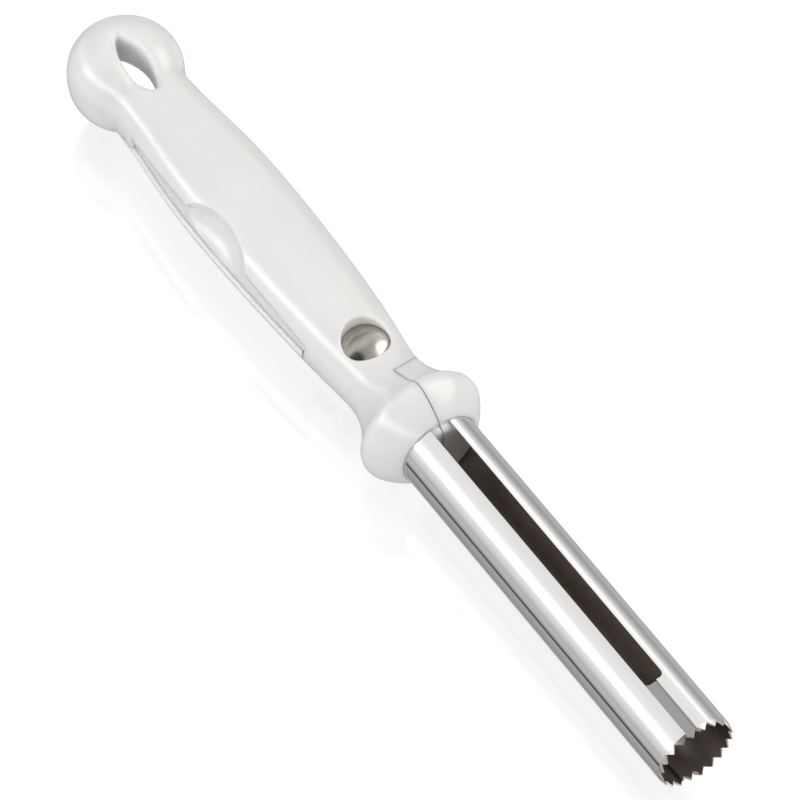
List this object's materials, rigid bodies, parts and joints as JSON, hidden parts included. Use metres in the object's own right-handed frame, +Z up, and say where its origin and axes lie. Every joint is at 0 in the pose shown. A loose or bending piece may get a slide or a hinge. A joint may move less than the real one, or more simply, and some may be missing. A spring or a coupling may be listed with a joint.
{
  "type": "apple corer",
  "caption": "Toothed steel corer tube split lengthwise, with one half fixed in a white plastic handle and the other on a riveted lever, and a hanging loop at the end.",
  "frame": {"origin": "on the surface that the corer lies on, under the middle of its length and of its width", "axes": "+X along the tube from the handle's loop to the teeth, +Y to the side that the lever's half of the tube is on, +Z up along the rivet's axis towards its head"},
  "size_m": [0.25, 0.032, 0.032],
  "materials": {
    "white_plastic": "glossy moulded",
    "polished_steel": "polished",
    "rivet_steel": "satin"
  },
  "bodies": {
    "handle": {"handle_body": "white_plastic", "cutter_half_fixed": "polished_steel", "pivot_rivet": "rivet_steel", "pivot_washer": "rivet_steel"},
    "lever": {"lever": "white_plastic", "cutter_half_moving": "polished_steel"}
  },
  "joints": [
    {"name": "lever_pivot", "type": "hinge", "parent": "handle", "child": "lever", "pos_m": [-0.0068, 0, 0.016], "axis": [0, 0, 1], "range_deg": [0, 12]}
  ]
}
